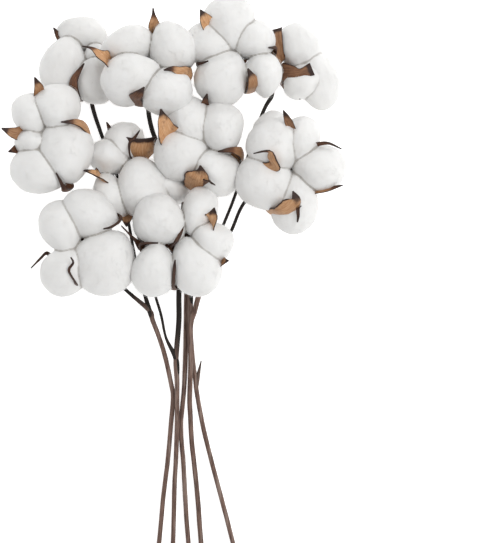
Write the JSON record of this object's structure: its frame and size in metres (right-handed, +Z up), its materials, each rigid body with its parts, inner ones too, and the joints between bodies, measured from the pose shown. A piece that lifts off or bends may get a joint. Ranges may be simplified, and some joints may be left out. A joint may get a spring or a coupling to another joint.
{
  "type": "cotton stem bunch",
  "caption": "Bunch of dried cotton stems lying on a surface: fluffy white open bolls in brown pointed husks on forked, dark woody stalks.",
  "frame": {"origin": "bottom centre of the bounding box, on the surface that the bunch lies on", "axes": "+Y from the cut ends of the stalks to the bolls, +Z up, the way the bolls face, +X to their right seen from above"},
  "size_m": [0.2168, 0.4468, 0.081],
  "materials": {
    "cotton": "matt, fibrous, off-white lint",
    "husk": "dry, papery; tan inside, dark brown outside and at the rims",
    "bark": "dry ridged bark, near black under the bolls and brown lower down"
  },
  "bodies": {
    "root": {"cotton_01": "cotton", "cotton_02": "cotton", "cotton_03": "cotton", "cotton_04": "cotton", "cotton_05": "cotton", "cotton_06": "cotton", "cotton_07": "cotton", "cotton_08": "cotton", "cotton_09": "cotton", "cotton_10": "cotton", "husk_01": "husk", "husk_02": "husk", "husk_03": "husk", "husk_04": "husk", "husk_05": "husk", "husk_06": "husk", "husk_07": "husk", "husk_08": "husk", "husk_09": "husk", "husk_10": "husk", "stem_1": "bark", "stem_2": "bark", "stem_3": "bark", "stem_4": "bark", "stem_5": "bark"}
  },
  "joints": []
}
